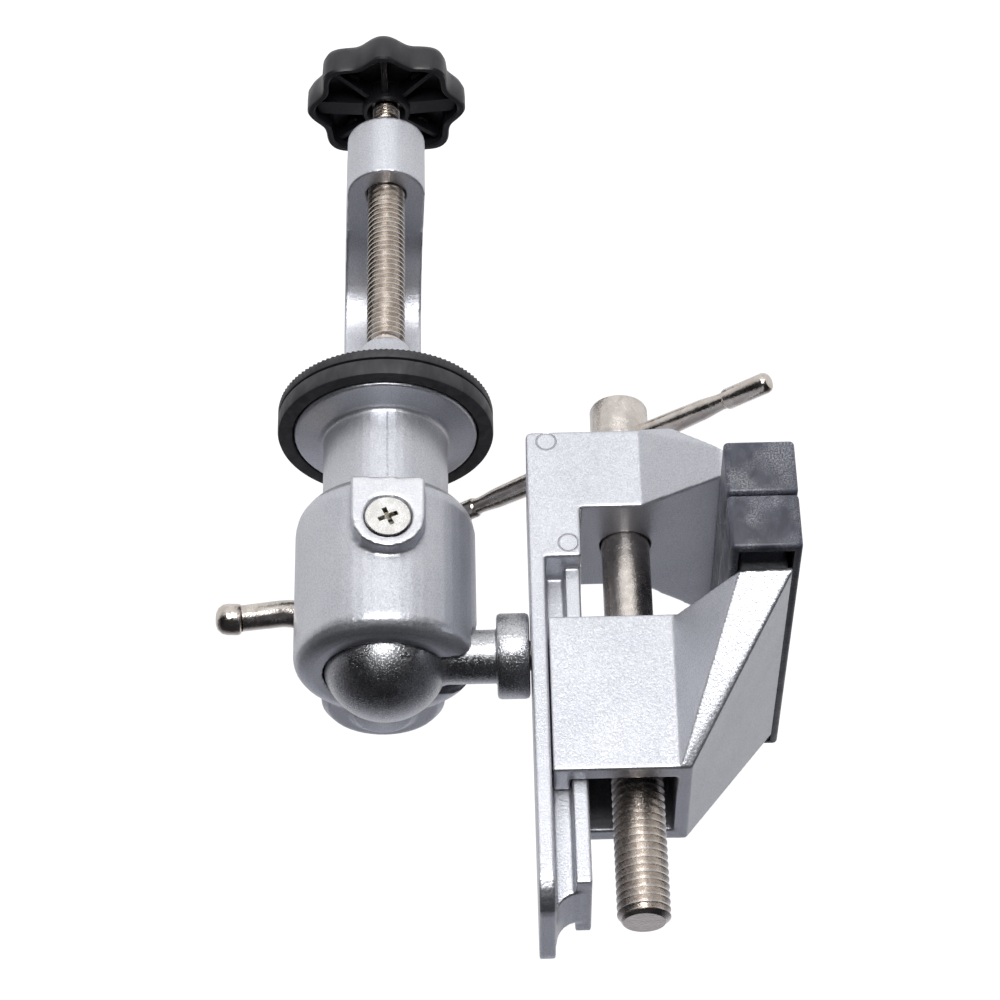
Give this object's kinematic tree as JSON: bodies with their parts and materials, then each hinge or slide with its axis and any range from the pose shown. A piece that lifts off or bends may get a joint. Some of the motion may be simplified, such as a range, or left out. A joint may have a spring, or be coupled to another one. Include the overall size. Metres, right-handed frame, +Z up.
{
  "type": "pcb holder vise",
  "caption": "Clamp-on swivel vise: a C-clamp carries a lever-locked ball whose stem holds a screw vise with wide rubber-covered jaws.",
  "frame": {"origin": "centre of the rubber pad face that rests on the table top", "axes": "+Z up along the clamp screw through the ball, +X along the ball stem towards the vise, +Y out of the open side of the clamp"},
  "size_m": [0.1125, 0.0747, 0.2065],
  "materials": {
    "cast_silver": "silver paint over a die casting",
    "nickel": "nickel plated",
    "chrome": "polished",
    "black_plastic": "satin moulded",
    "black_rubber": "matte",
    "smoke_rubber": "smooth, smoky black",
    "steel": "plain"
  },
  "bodies": {
    "frame": {"clamp_frame": "cast_silver", "table_pad": "black_rubber"},
    "foot": {"clamp_foot": "cast_silver", "foot_pad": "black_rubber"},
    "clamp_drive": {"clamp_screw": "nickel", "clamp_knob": "black_plastic", "foot_retaining_ring": "steel"},
    "ball": {"ball_stem": "chrome", "stem_bolt": "steel"},
    "shoe": {"brake_shoe": "steel"},
    "lock": {"lock_shaft": "steel", "lock_shaft_screw": "nickel", "lock_lever": "chrome", "lever_screw": "nickel"},
    "rail": {"rail_fixed_jaw": "cast_silver", "fixed_jaw_cover": "smoke_rubber", "screw_retaining_pin": "steel"},
    "jaw": {"sliding_jaw": "cast_silver", "jaw_nut": "steel", "sliding_jaw_cover": "smoke_rubber"},
    "vise_drive": {"vise_screw": "nickel", "thrust_washer": "steel"},
    "t_bar": {"t_bar": "nickel"}
  },
  "joints": [
    {"name": "clamp_travel", "type": "slide", "parent": "frame", "child": "foot", "axis": [0, 0, -1], "range_m": [0, 0.036]},
    {"name": "clamp_screw_spin", "type": "hinge", "parent": "foot", "child": "clamp_drive", "pos_m": [0, 0, -0.05], "axis": [0, 0, -1], "continuous": true},
    {"name": "ball_tilt", "type": "hinge", "parent": "frame", "child": "ball", "pos_m": [0, 0, 0.0556], "axis": [0, -1, 0], "range_deg": [0, 90]},
    {"name": "vise_swivel", "type": "hinge", "parent": "ball", "child": "rail", "pos_m": [0.028, 0, 0.0556], "axis": [-1, 0, 0], "range_deg": [0, 180]},
    {"name": "jaw_travel", "type": "slide", "parent": "rail", "child": "jaw", "axis": [0, 0, 1], "range_m": [0, 0.036]},
    {"name": "vise_screw_spin", "type": "hinge", "parent": "rail", "child": "vise_drive", "pos_m": [0.0471, 0, 0.05], "axis": [0, 0, 1], "continuous": true},
    {"name": "t_bar_slide", "type": "slide", "parent": "vise_drive", "child": "t_bar", "axis": [0.8096, 0.587, 0], "range_m": [-0.001, 0.028]},
    {"name": "lock_turn", "type": "hinge", "parent": "frame", "child": "lock", "pos_m": [0, 0, 0.036], "axis": [-0.0698, -0.9976, 0], "range_deg": [0, 30]},
    {"name": "shoe_travel", "type": "slide", "parent": "frame", "child": "shoe", "axis": [0, 0, -1], "range_m": [0, 0.00036]}
  ],
  "couplings": [
    {"joint": "clamp_screw_spin", "follows": "clamp_travel", "rad_per_m": 5026.5},
    {"joint": "vise_screw_spin", "follows": "jaw_travel", "rad_per_m": 4188.8},
    {"joint": "shoe_travel", "follows": "lock_turn", "m_per_rad": 0.00068}
  ]
}
